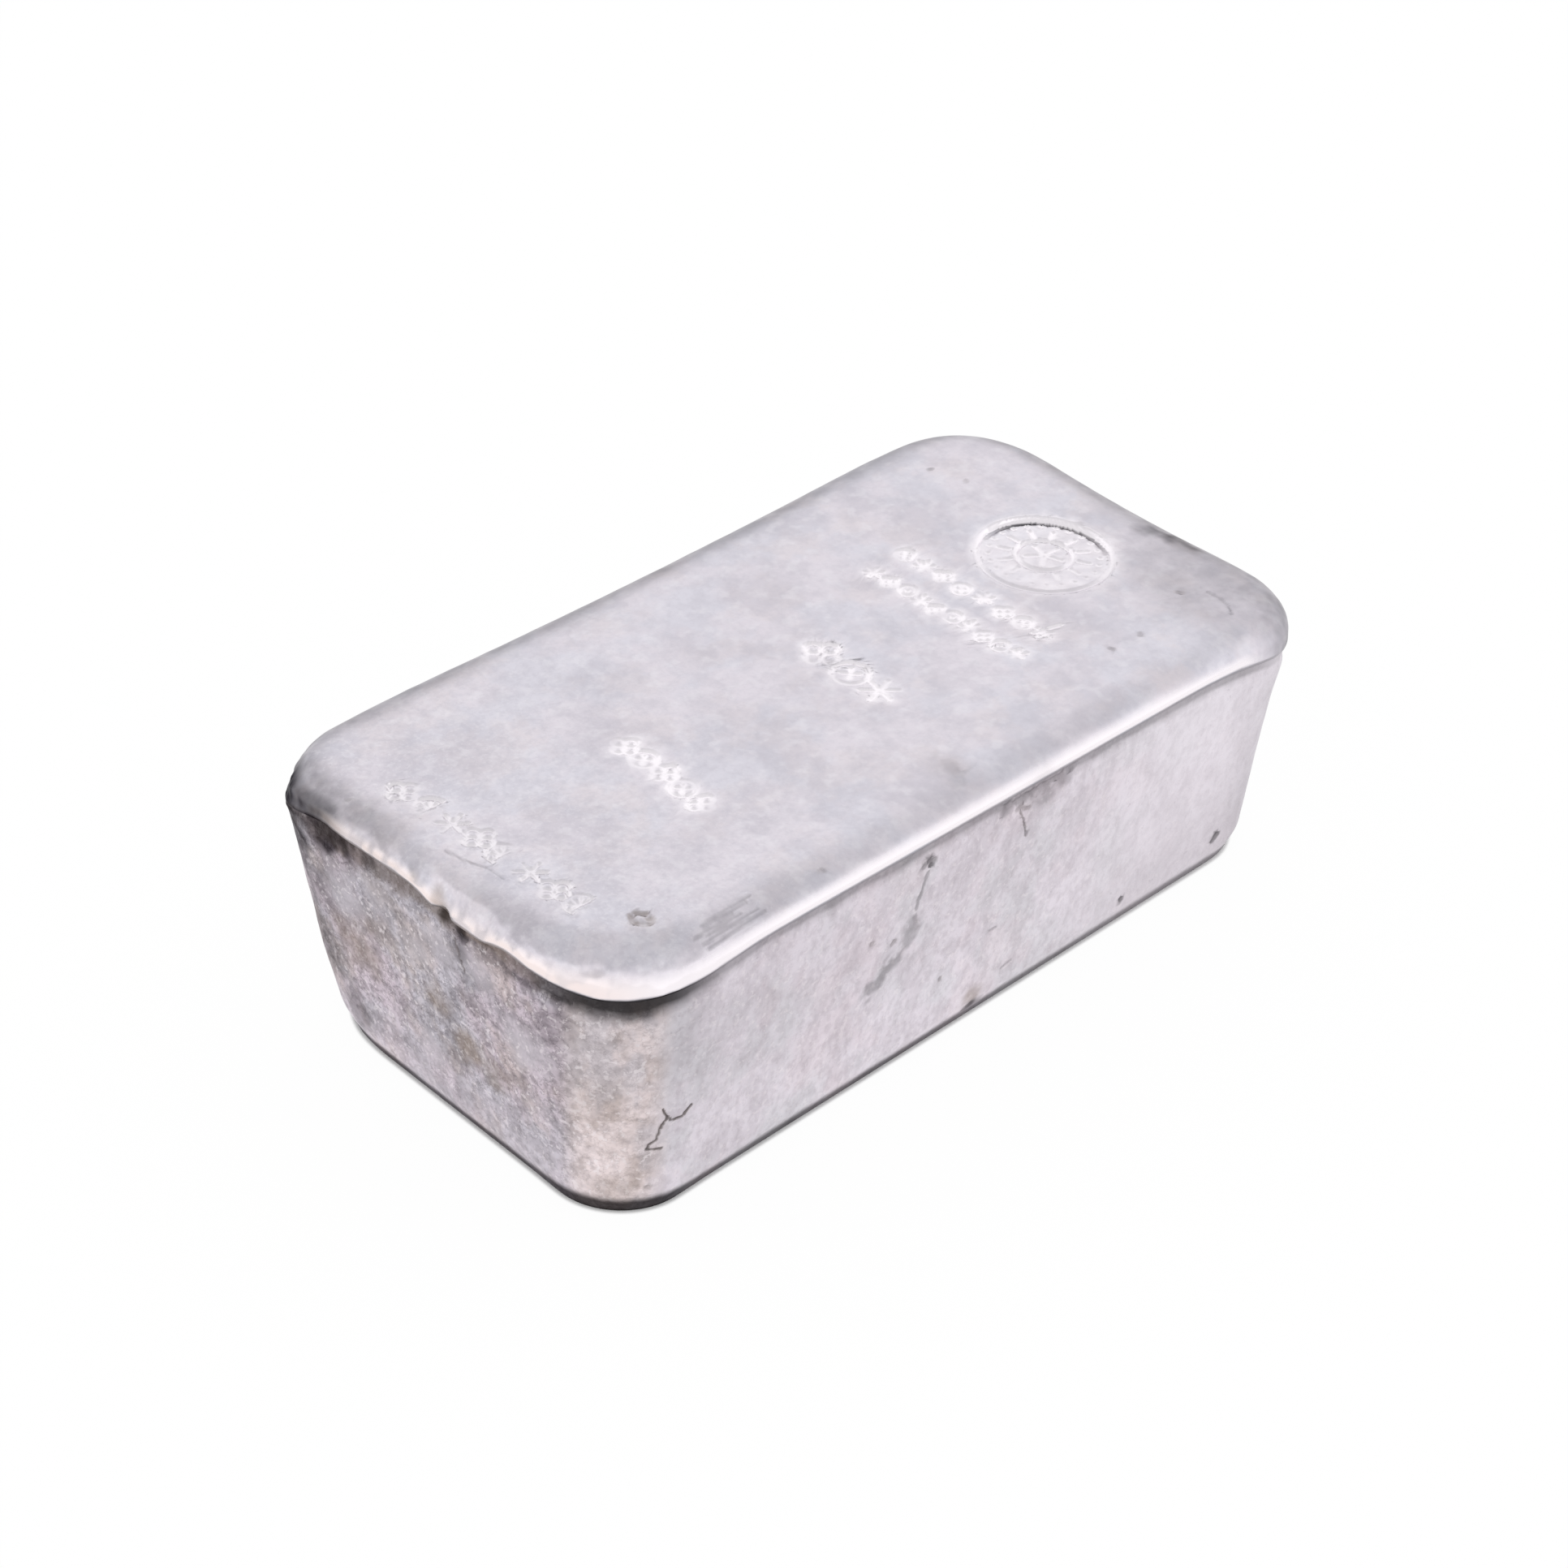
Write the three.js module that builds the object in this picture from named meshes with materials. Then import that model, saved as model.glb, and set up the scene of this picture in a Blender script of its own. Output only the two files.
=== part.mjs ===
// A one-kilogram silver bar, poured into an open mould and left to set: one solid casting.
// Millimetres, +Z up. The bar lies on its base with the poured face up. X runs along its length from
// the near end to the far end, Y runs across it from the right side to the left, and the origin is
// on the base's plane, under the middle of the bar's box.
import * as THREE from 'three';
import { mergeVertices } from 'three/addons/utils/BufferGeometryUtils.js';

// Plan of the bar at its widest line, where the poured rim rolls over, with its four hand-filled
// corners. Each set at its own radius, at its own height against the level of the pour, and drew away
// under its lip by its own share, from 0 where the metal filled the mould to 1 at the deepest hollow.
const rimLength = 87.8;
const rimWidth = 45.4;
const farLeft = { radius: 10.7, rise: 0.9, hollow: 0.32 };
const nearLeft = { radius: 8.4, rise: -0.2, hollow: 0 };
const nearRight = { radius: 11.6, rise: 1.3, hollow: 1 };
const farRight = { radius: 9.1, rise: 0.3, hollow: 0.4 };

// Draft: how far each wall leans in between the rim and the base, so that the bar leaves its mould.
const nearDraft = 2.8;
const farDraft = 2.1;
const leftDraft = 3.1;
const rightDraft = 1.9;

// Height, and the base's corners and edge.
const barHeight = 26.7;
const baseCornerRadius = 7.6;
const baseEdgeRadius = 0.7;

// The rolled rim: how far it turns in over the top, how far it drops to its widest line, and how
// much further it sags at the corners.
const rollWidth = 4.6;
const rollDrop = 2.1;
const cornerExtraDrop = 2.0;

// The lip under the rim, and the groove below it where the metal drew away from the mould's wall. The
// groove lies between these two sizes, by the hollow shares of the corners, the sides and the near
// end. Where it is closed, the wall swells out under the lip instead.
const lipDepth = 0.6;
const lipOverhang = 0.3;
const closedGroove = { depth: -0.2, height: 0.8 };
const deepGroove = { depth: 1.1, height: 2.5 };
const sideHollow = 0.32;
const nearEndHollow = 0.5;

// How the poured face settled as it cooled: a shallow dish, and edges that sank or crept up.
const dishDepth = 0.5;
const farEndSag = 1.4;
const nearEndSag = -0.6;
const leftSideSag = 0.7;

// How far the rim of the far end and of the left side drew in, in the middle of each.
const farEndBow = 0.7;
const leftSideBow = 0.7;

// Fineness of the surface.
const cornerSteps = 10;
const longSteps = 16;
const shortSteps = 9;
const edgeSteps = 4;
const wallSteps = 6;
const lipSteps = 3;
const rollSteps = 8;
const topSteps = 7;

const { clamp, lerp, smoothstep } = THREE.MathUtils;

const rimHalfLength = rimLength / 2;
const rimHalfWidth = rimWidth / 2;
const baseHalfLength = (rimLength - nearDraft - farDraft) / 2;
const baseHalfWidth = (rimWidth - leftDraft - rightDraft) / 2;
const baseCentre = new THREE.Vector2((nearDraft - farDraft) / 2, (rightDraft - leftDraft) / 2);
const widestHeight = barHeight - rollDrop;
const rimRadii = [farLeft, nearLeft, nearRight, farRight].map((corner) => corner.radius);

// One closed outline, anticlockwise from the far left corner: a rectangle with a radius of its own
// at each corner and evenly divided sides.
function roundedOutline(halfLength, halfWidth, radii, centre) {
  const middles = [[1, 1], [-1, 1], [-1, -1], [1, -1]].map(([signX, signY], index) => [
    centre.x + signX * (halfLength - radii[index]),
    centre.y + signY * (halfWidth - radii[index]),
  ]);
  const onArc = (index, angle) => new THREE.Vector2(
    middles[index][0] + radii[index] * Math.cos(angle),
    middles[index][1] + radii[index] * Math.sin(angle),
  );
  return middles.flatMap((_, index) => {
    const start = index * Math.PI / 2;
    const end = start + Math.PI / 2;
    const next = onArc((index + 1) % middles.length, end);
    const sideSteps = index % 2 === 0 ? longSteps : shortSteps;
    const points = [];
    for (let step = 0; step <= cornerSteps; step += 1) {
      points.push(onArc(index, lerp(start, end, step / cornerSteps)));
    }
    const last = points[cornerSteps];
    for (let step = 1; step < sideSteps; step += 1) {
      points.push(last.clone().lerp(next, step / sideSteps));
    }
    return points;
  });
}

// A place on the plan as shares of the rim's half length and half width, from -1 to 1.
function planShare(x, y) {
  return [clamp(x / rimHalfLength, -1, 1), clamp(y / rimHalfWidth, -1, 1)];
}

// How much higher or lower the poured face stands at a place than a level face would.
function settledRise(x, y) {
  const [u, v] = planShare(x, y);
  const along = (1 + u) / 2;
  const across = (1 + v) / 2;
  const left = lerp(nearLeft.rise, farLeft.rise, along);
  const right = lerp(nearRight.rise, farRight.rise, along);
  const endSag = (u > 0 ? farEndSag : nearEndSag) * u ** 6 * (1 - v ** 2);
  const sideSag = (v > 0 ? leftSideSag : 0) * v ** 6 * (1 - u ** 2);
  const dish = dishDepth * (1 - u ** 2) * (1 - v ** 2);
  return lerp(right, left, across) - endSag - sideSag - dish;
}

// How much further the rim hangs at a place because it is near a corner.
function cornerSag(x, y) {
  const [u, v] = planShare(x, y);
  return cornerExtraDrop * smoothstep(Math.abs(u), 0.6, 0.97) * smoothstep(Math.abs(v), 0.4, 0.95);
}

// How far the groove has opened at a place, from 0 for closed to 1 for deep.
function hollowAt(x, y) {
  const [u, v] = planShare(x, y);
  const right = u > 0 ? farRight : nearRight;
  const left = u > 0 ? farLeft : nearLeft;
  const corner = v > 0 ? left : right;
  const cornerShare = smoothstep(Math.abs(u), 0.65, 0.9) * smoothstep(Math.abs(v), 0.3, 0.85);
  const side = lerp(sideHollow, nearEndHollow, smoothstep(-u, 0.8, 1));
  return lerp(side, corner.hollow, cornerShare);
}

// The outline with the far end and the left side drawn in.
function drawnIn({ x, y }, share) {
  const [u, v] = planShare(x, y);
  const endBow = (u > 0 ? farEndBow : 0) * u ** 4 * (1 - v ** 2);
  const sideBow = (v > 0 ? leftSideBow : 0) * v ** 4 * (1 - u ** 2);
  return new THREE.Vector2(x - share * endBow, y - share * sideBow);
}

// A ring of the wall, a share of the way from the base's outline to the rim's, drawn in by an inset.
function wallRing(share, inset, height) {
  const radii = rimRadii.map((radius) => Math.max(lerp(baseCornerRadius, radius, share) - inset, 0.5));
  const outline = roundedOutline(
    lerp(baseHalfLength, rimHalfLength, share) - inset,
    lerp(baseHalfWidth, rimHalfWidth, share) - inset,
    radii,
    baseCentre.clone().multiplyScalar(1 - share),
  );
  return outline.map((point) => {
    const { x, y } = drawnIn(point, share);
    const z = height + share * (settledRise(point.x, point.y) - cornerSag(point.x, point.y));
    return new THREE.Vector3(x, y, z);
  });
}

// A ring of the groove or the lip: made once for the closed groove and once for the deep one, and
// mixed place by place.
function grooveRing(ringFor) {
  const closed = ringFor(closedGroove);
  const deep = ringFor(deepGroove);
  return closed.map((point, index) => point.lerp(deep[index], hollowAt(point.x, point.y)));
}

// A ring of the poured face, inside the widest line by an inset and down from the face by a drop.
function topRing(inset, drop, shrink) {
  const outline = roundedOutline(
    (rimHalfLength - inset) * shrink,
    (rimHalfWidth - inset) * shrink,
    rimRadii.map((radius) => (radius - inset) * shrink),
    new THREE.Vector2(),
  );
  return outline.map((point) => {
    const { x, y } = drawnIn(point, 1);
    const sag = drop / rollDrop * cornerSag(point.x, point.y);
    return new THREE.Vector3(x, y, barHeight + settledRise(point.x, point.y) - drop - sag);
  });
}

// All the rings of the bar: the base's edge, the wall, the groove and lip, the roll and the face.
function barRings() {
  const rings = [];
  for (let step = 0; step <= edgeSteps; step += 1) {
    const angle = step / edgeSteps * Math.PI / 2;
    const inset = baseEdgeRadius * (1 - Math.sin(angle));
    rings.push(wallRing(0, inset, baseEdgeRadius * (1 - Math.cos(angle))));
  }
  const shareAt = (height) => (height - baseEdgeRadius) / (widestHeight - baseEdgeRadius);
  const plainWall = (height) => wallRing(shareAt(height), lipOverhang * shareAt(height), height);
  const grooveTop = widestHeight - lipDepth;
  for (let step = 1; step < wallSteps; step += 1) {
    rings.push(plainWall(lerp(baseEdgeRadius, grooveTop - closedGroove.height, step / wallSteps)));
  }
  rings.push(grooveRing(({ height }) => plainWall(grooveTop - height)));
  rings.push(grooveRing(({ depth }) => wallRing(shareAt(grooveTop), lipOverhang + depth, grooveTop)));
  for (let step = 1; step < lipSteps; step += 1) {
    const angle = step / lipSteps * Math.PI / 2;
    const height = widestHeight - lipDepth * Math.cos(angle);
    rings.push(grooveRing(({ depth }) => wallRing(1, (lipOverhang + depth) * (1 - Math.sin(angle)), height)));
  }
  for (let step = 0; step <= rollSteps; step += 1) {
    const angle = step / rollSteps * Math.PI / 2;
    rings.push(topRing(rollWidth * (1 - Math.cos(angle)), rollDrop * (1 - Math.sin(angle)), 1));
  }
  for (let step = 1; step < topSteps; step += 1) {
    rings.push(topRing(rollWidth, 0, 1 - step / topSteps));
  }
  return rings;
}

// Skins the rings, each joined to the next, and closes the base and the middle of the face.
function loft(rings, baseMiddle, faceMiddle) {
  const count = rings[0].length;
  const points = [...rings.flat(), baseMiddle, faceMiddle];
  const baseIndex = points.length - 2;
  const faceIndex = points.length - 1;
  const last = (rings.length - 1) * count;
  const indices = [];
  for (let step = 0; step < count; step += 1) {
    const next = (step + 1) % count;
    for (let ring = 0; ring < last; ring += count) {
      indices.push(ring + step, ring + next, ring + next + count);
      indices.push(ring + step, ring + next + count, ring + step + count);
    }
    indices.push(baseIndex, next, step);
    indices.push(faceIndex, last + step, last + next);
  }
  const geometry = new THREE.BufferGeometry().setFromPoints(points);
  geometry.setIndex(indices);
  return mergeVertices(geometry);
}

function makeIngot() {
  const baseMiddle = new THREE.Vector3(baseCentre.x, baseCentre.y, 0);
  const faceMiddle = new THREE.Vector3(0, 0, barHeight + settledRise(0, 0));
  const geometry = loft(barRings(), baseMiddle, faceMiddle);
  geometry.computeBoundingBox();
  const boxMiddle = geometry.boundingBox.getCenter(new THREE.Vector3());
  geometry.translate(-boxMiddle.x, -boxMiddle.y, 0);
  geometry.computeVertexNormals();
  const silver = new THREE.MeshStandardMaterial({ color: 0xc4c2c6, roughness: 0.42, metalness: 1 });
  const mesh = new THREE.Mesh(geometry, silver);
  mesh.name = 'ingot';
  return mesh;
}

const group = new THREE.Group();
group.add(makeIngot());
export default group;
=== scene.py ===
import math
import random
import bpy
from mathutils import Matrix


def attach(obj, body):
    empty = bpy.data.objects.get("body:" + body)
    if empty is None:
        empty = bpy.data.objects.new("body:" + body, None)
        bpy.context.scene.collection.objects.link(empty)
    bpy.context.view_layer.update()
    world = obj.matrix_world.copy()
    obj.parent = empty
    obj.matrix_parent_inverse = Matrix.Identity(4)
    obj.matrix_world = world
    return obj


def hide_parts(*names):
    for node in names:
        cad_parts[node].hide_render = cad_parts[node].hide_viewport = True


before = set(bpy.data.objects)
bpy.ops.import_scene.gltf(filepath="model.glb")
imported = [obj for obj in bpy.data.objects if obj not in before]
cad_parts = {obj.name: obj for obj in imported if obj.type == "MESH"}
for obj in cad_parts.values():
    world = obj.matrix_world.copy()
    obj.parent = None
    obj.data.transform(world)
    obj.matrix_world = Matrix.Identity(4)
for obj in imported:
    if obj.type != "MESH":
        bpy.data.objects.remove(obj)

from types import SimpleNamespace

import bmesh
import bpy
from mathutils import Euler, Quaternion, Vector, kdtree, noise

print("frame loaded")

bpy.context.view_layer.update()     # brought up to date before anything is added
mm = 0.001
frameWidth = 1932        # pixels across the whole picture


def linearColour(hexCode):
    channels = [int(hexCode[i:i + 2], 16) / 255 for i in (1, 3, 5)]
    return tuple(c / 12.92 if c <= 0.04045 else ((c + 0.055) / 1.055) ** 2.4 for c in channels) + (1.0,)


def smoothStep(value, low, high):
    share = min(max((value - low) / (high - low), 0.0), 1.0)
    return share * share * (3 - 2 * share)


def band(value, start, full, fall, end):
    return smoothStep(value, start, full) * (1 - smoothStep(value, fall, end))


def addNode(tree, kind, settings=None, values=None, links=None):
    node = tree.nodes.new(kind)
    for name, value in (settings or {}).items():
        setattr(node, name, value)
    for name, value in (values or {}).items():
        node.inputs[name].default_value = value
    for name, source in (links or {}).items():
        tree.links.new(source, node.inputs[name])
    return node


def emptyTree(owner):
    owner.use_nodes = True
    owner.node_tree.nodes.clear()
    return owner.node_tree


viewPoint = {
    "azimuth": -46.14,      # degrees round the bar, 0 looks along +Y
    "elevation": 36.54,
    "roll": 3.12,
    "distance": 299.67,     # millimetres
    "aim": (-1.81, -0.43),  # millimetres to the right and up in the picture
    "aimHeight": 15.0,
    "focalPixels": 4200,    # focal length in pixels of the whole frame
    "sensor": 36.0,
    "clipStart": 10.0,      # millimetres
}


def makeCamera():
    turn = Euler((math.radians(90 - viewPoint["elevation"]), 0, math.radians(viewPoint["azimuth"])))
    turn = turn.to_quaternion() @ Quaternion((0, 0, 1), math.radians(viewPoint["roll"]))
    right, up, back = (turn @ Vector(axis) for axis in ((1, 0, 0), (0, 1, 0), (0, 0, 1)))
    camera = bpy.data.objects.new("viewCamera", bpy.data.cameras.new("viewCamera"))
    camera.location = mm * (
        back * viewPoint["distance"] + right * viewPoint["aim"][0] + up * viewPoint["aim"][1]
        + Vector((0, 0, viewPoint["aimHeight"]))
    )
    camera.rotation_mode = "QUATERNION"
    camera.rotation_quaternion = turn
    camera.data.sensor_width = viewPoint["sensor"]
    camera.data.lens = viewPoint["sensor"] * viewPoint["focalPixels"] / frameWidth
    camera.data.clip_start = viewPoint["clipStart"] * mm
    bpy.context.collection.objects.link(camera)
    bpy.context.scene.camera = camera


makeCamera()
print("camera placed")

# The casting is refined ring by ring. Rings are counted outwards from the middle of the base:
# 1-5 base edge, 6-11 wall, 12-14 groove and lip, 15 widest line, 16-23 rolled rim, 24-30 face.
barSkin = {
    "mergeDistance": 0.001 * mm,
    "joinBelow": 80,               # degrees between two triangles that become one quad
    "smoothLevels": 2,
    "baseCap": 3.4,                # inside this ring the base is one flat face
    "wallRings": (5.4, 11.1),      # rings between which the mesh is made finer
    "footRings": (4.7, 5.6),
    "lipRings": (10.6, 15.2),
    "rollRings": (15.2, 19.5),
    "rollReach": -36,              # the roll is finer only on the near side of this
    # the mesh is finest round the marks: rings, reach and longest edge in millimetres, passes
    "faceSplit": {"low": 17, "high": 31, "reach": 0.30, "longest": 0.23, "times": 3},
    "wallSplit": {"low": 5, "high": 15, "reach": 0.30, "longest": 0.18, "times": 2},
    "markRing": 17,                # marks beyond this ring are on the face, the others on the wall
    "markReach": 1.4,              # millimetres from its stroke within which a mark shows
    "sealRing": 20,                # the seal's burnish lies beyond this one
    "nearEnd": (36.5, 42),         # how far from the middle the rough near end starts and is full
    "wallSwell": 0.10,             # heights and depths of the skin, in millimetres
    "wallGrain": 0.022,
    "faceSwell": 0.07,
    "faceDents": 0.016,
    "grooveCut": 0.12,
    "lipRagged": 0.22,
    "rimKnobs": 0.11,
    "leftSwell": 0.05,
    "leftPinch": 0.2,
    "rightSwell": 0.22,
    "rightPinch": 0.1,
    "shoulderCut": 0.3,
    "cornerLift": 0.5,             # how much higher the lip lies at the left corner
    "endLipSag": 0.9,              # how much lower it hangs beside its chip
    "chipMiddle": (-43.6, -3.0, 25.1),
    "chipReach": (0.6, 1.5),
    "chipDepth": 0.4,
    "footInset": 0.70,
    "baseCornerDent": 0.55,
    "dentWay": (0.69, -0.72, 0),
    "grooveTarnishAndShade": 0.38,         # how dark each place is painted, 1 is black
    # painted shadow: the black crescent and gap under the lip at the front corner
    "crescentShadow": 0.25,
    "frontCornerShadow": 0.55,
    # the left corner's rim is darkened: partly tarnish, partly painted shade
    "leftCornerTarnishAndShade": 0.78,
    # painted shade on the upper wall under the lip near the front corner
    "cornerWallShade": 0.14,
    # the far end of the wall is made darker
    "farWallDarkening": 0.09,
    # painted shade in the band below the near end's lip
    "underLipShade": 0.12,
    # painted shade: the far rims and far corner are darkened for the darker room they reflect
    "farRimShade": 0.26,
    "farCornerShade": 0.27,
    # the face by the far corner is made darker
    "farFaceDarkening": 0.20,
    # painted shade on the inner slope of the near end's rolled rim
    "innerRimShade": 0.36,
    # painted shade between the highlights of the knobs on the near end's rim
    "knobShade": 0.16,
    # painted contact shadow along the foot of the wall
    "baseShadow": 0.68,
    # the darkest that the painted shade below the lip and the dark stains may be
    "deepestLipShade": 0.82,
    "deepestStain": 0.85,
    "grooveBrown": 0.45,
}

# soft stains on the skin, each a middle, a reach in millimetres and a strength, and the seed of their
# ragged edges;
# the dark ones are partly real smudges and partly painted shade under the lip and at the left corner,
# the ones kept below the lip are painted shade of the lip and the chip, and the cool ones are smooth
# blue grey
barStains = {
    "brown": {"seed": 15.3, "patches": [
        ((-42.1, 9.6, 12.6), 4.6, 0.44), ((-42.2, 8.0, 16.0), 2.2, 0.14),
        ((-42.2, -0.4, 13.6), 2.6, 0.42), ((-41.8, -4.2, 10.6), 3.0, 0.44),
        ((-41.8, -7.2, 9.6), 2.6, 0.42), ((-43.4, -3.0, 25.3), 1.6, 1.00),
        ((-43.0, -2.9, 24.2), 2.1, 0.85), ((-40.5, -17.6, 13.0), 5.0, 0.20),
        ((-38.6, -19.4, 8.0), 4.0, 0.16), ((-43.2, 5.0, 24.2), 6.0, 0.20),
        ((-43.4, -2.2, 26.3), 1.0, 0.45), ((-43.5, 0.6, 26.4), 0.9, 0.35),
        ((-38.5, -18.5, 3.0), 3.5, 0.34), ((-1.9, -18.0, 26.5), 3.0, 0.12),
        ((0.6, -20.9, 3.0), 1.6, 0.45),
    ]},
    "dark": {"seed": 16.3, "patches": [
        ((-43.0, 17.0, 23.6), 3.4, 0.55), ((-42.6, 14.6, 17.5), 4.5, 0.22),
        ((-41.8, 16.8, 10.0), 7.0, 0.34), ((-41.3, 11.5, 4.6), 3.2, 0.40),
        ((-42.3, 10.2, 26.7), 3.0, 0.24), ((-43.5, -3.0, 25.3), 1.5, 0.75),
        ((40.0, -4.4, 26.2), 2.8, 0.42), ((40.8, -6.3, 26.0), 2.8, 0.58),
        ((40.6, -8.1, 26.1), 2.6, 0.44), ((5.5, -21.9, 23.8), 3.2, 0.24),
        ((1.2, -22.0, 23.9), 1.7, 0.55), ((8.4, -22.0, 23.9), 1.8, 0.45),
        ((1.0, -20.9, 1.6), 1.2, 0.70),
    ]},
    # painted shade under the lip and in the chip
    "lipShade": {"seed": 16.9, "patches": [
        ((-43.0, 16.6, 23.4), 5.0, 0.80), ((-43.2, 13.8, 23.6), 4.0, 0.90),
        ((-43.1, 12.1, 23.6), 3.6, 0.90), ((-43.1, 9.8, 23.9), 3.0, 0.80),
        ((-43.0, 7.6, 24.2), 2.2, 0.60), ((-42.4, 18.4, 20.5), 5.5, 0.50),
        ((-43.0, -2.9, 24.2), 2.0, 0.85), ((-43.1, -4.6, 23.5), 2.0, 0.85),
        ((-43.0, -3.8, 21.6), 2.4, 0.30), ((-42.9, -5.4, 18.6), 2.6, 0.20),
    ]},
    "cool": {"seed": 18.7, "patches": [
        ((-42.9, -1.7, 20.3), 3.2, 0.75), ((-43.0, -6.6, 20.6), 3.2, 0.70),
        ((-42.6, 1.4, 18.0), 2.8, 0.65), ((-42.4, -11.3, 15.5), 3.8, 0.85),
        ((-41.5, 1.2, 7.0), 3.0, 0.60), ((-42.8, 5.0, 19.6), 2.4, 0.45),
        ((-41.6, -12.5, 9.0), 3.0, 0.40), ((-42.7, 10.5, 17.8), 4.2, 0.75),
        ((-42.9, 6.0, 20.5), 3.0, 0.60),
    ]},
}

# noise over the bar: its size in millimetres along X, Y and Z, and its seed
barWaves = {
    "swell": (11, 11, 9, 3.1),
    "grain": (1.7, 1.7, 2.6, 9.4),
    "fineGrain": (0.9, 0.9, 1.1, 5.2),
    "drag": (1.2, 1.2, 14, 7.7),
    "faceSwell": (13, 10, 30, 1.3),
    "faceDent": (3.2, 2.6, 30, 2.2),
    "knob": (2.2, 2.2, 3.0, 4.4),
    "fineKnob": (0.9, 0.9, 1.2, 6.1),
    "groove": (2.5, 2.5, 40, 6.6),
    "grooveDepth": (3.5, 3.5, 20, 2.9),
    "lipEdge": (3.0, 3.0, 30, 8.8),
    "fineLipEdge": (1.1, 1.1, 30, 1.9),
    "mottle": (2.6, 2.6, 2.6, 14.1),
    "fineMottle": (0.8, 0.8, 0.8, 12.5),
    "stainEdge": (1.6, 1.6, 1.6, 0),
    "broadStainEdge": (4, 4, 4, 5),
    "underLip": (1.6, 1.6, 1.6, 25),
    "belowLip": (1.5, 1.5, 40, 3.8),
    "footLine": (1.2, 1.2, 40, 5.5),
    "burnish": (1, 1, 1, 23),
    "markEdge": (0.6, 0.6, 0.6, 19),
    "wear": (2.2, 2.2, 2.2, 22),
    "fineWear": (0.9, 0.9, 0.9, 21),
    "longWear": (1.2, 0.7, 1.2, 24),
}

# rings at which a feature sets in, is full, falls off and is gone
barBands = {
    "wall": (4.5, 5.5, 10.8, 11.6),
    "leftSwell": (9.0, 11.2, 11.6, 12.6),
    "leftPinch": (11.8, 12.8, 15.5, 17.5),
    "rightSwell": (9.5, 11.2, 12.4, 13.6),
    "rightPinch": (13.2, 14.4, 15.5, 17.0),
    "lift": (9.5, 12.0, 15.5, 20.0),
    "sag": (11.0, 13.0, 16.0, 18.8),
    "lipEdge": (10.2, 11.0, 12.0, 14.5),
    "crescent": (10.4, 11.2, 14.7, 15.1),
    "knobs": (14.4, 15.4, 17.5, 20.0),
    # rings of the painted shade between the knobs' highlights
    "knobShading": (14.8, 15.3, 17.0, 18.5),
    "shoulder": (15.2, 16.6, 18.0, 21.0),
    "innerRim": (17.3, 18.4, 20.2, 22.8),
}

# places seen from above, and how far out they are full and gone, in millimetres
barPlaces = {
    "frontCorner": (-38.2, -18.3, 3.0, 9.5),
    "paleCorner": (-39.4, -18.8, 2.4, 5.0),
    "leftCorner": (-41.2, 17.2, 3.4, 7.0),
    "darkCorner": (-42.8, 15.8, 3.0, 8.5),
    # where the rim's worn line and its painted highlight fade out
    "noWornHighlightLeft": (-42.2, 17.5, 3.0, 6.0),
    "lift": (-43.0, 14.5, 2.0, 6.0),
    "shoulder": (-40.0, 20.3, 1.5, 5.0),
    "baseDent": (-42.0, 17.0, 2.0, 8.0),
    "rightCorner": (39.5, -18.5, 3.0, 7.0),
    "farCorner": (39.8, -18.2, 4.0, 8.0),
    "noWornHighlightRight": (40, -17, 8.0, 10.0),
    "farFace": (39, -14, 5.0, 13.0),
}

# marks: half width, depth and raised edge in millimetres, how dark, brown and bright the metal is
# inside, how far the brightness spreads round it, and how ragged its edge is; the brightness and its
# spread are partly burnished metal and partly a painted highlight, and the dark of the seal's foot and
# of the hand punches is painted shade on their deep side
markFields = ("width", "depth", "ridge", "dark", "brown", "struck", "halo", "ragged")
markTable = {
    "handPunch": (0.24, 0.15, 0.08, 0.07, 0.00, 0.85, 0.24, 0.50),
    "blow": (0.30, 0.11, 0.05, 0.00, 0.00, 1.00, 0.50, 0.20),
    "sealRing": (0.30, 0.24, 0.12, 0.00, 0.00, 1.00, 0.70, 0.10),
    "sealFoot": (0.52, 0.40, 0.14, 0.78, 0.00, 0.00, 0.00, 0.15),
    "crack": (0.10, 0.16, 0.02, 0.52, 0.35, 0.00, 0.00, 0.70),
    "hairline": (0.16, 0.05, 0.00, 0.30, 0.00, 0.00, 0.00, 0.80),
    "furrow": (0.34, 0.16, 0.06, 0.62, 0.00, 0.00, 0.00, 0.90),
    "scratch": (0.12, 0.05, 0.03, 0.20, 0.00, 0.00, 0.00, 0.30),
    "pinhole": (0.34, 0.22, 0.03, 0.85, 0.00, 0.00, 0.00, 0.70),
    "dimple": (0.24, 0.07, 0.02, 0.22, 0.12, 0.00, 0.00, 0.50),
    "bubble": (0.30, 0.12, 0.06, 0.12, 0.38, 0.00, 0.00, 0.50),
    "smear": (0.52, 0.03, 0.00, 0.27, 0.00, 0.00, 0.00, 1.10),
    "brightGouge": (0.24, 0.12, 0.05, 0.00, 0.00, 1.00, 0.25, 0.30),
}
markKinds = {kind: dict(zip(markFields, values)) for kind, values in markTable.items()}


# points every 0.08 mm along a stroke, so that the marks run on unbroken
def evenly(corners, step=0.08):
    points = []
    for start, end in zip(corners, corners[1:]):
        start, end = Vector(start), Vector(end)
        count = max(1, round((end - start).length / step))
        points += [start.lerp(end, i / count) for i in range(count)]
    return points + [Vector(corners[-1])]


def polygon(sides, radius, middle=(0, 0)):
    x, y = middle
    turns = (i * math.tau / sides for i in range(sides + 1))
    return evenly([(x + radius * math.cos(t), y + radius * math.sin(t), 0) for t in turns])


def pellets(count, radius):
    turns = (i * math.tau / count for i in range(count))
    return [[Vector((radius * math.cos(t), radius * math.sin(t), 0))] for t in turns]


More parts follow.
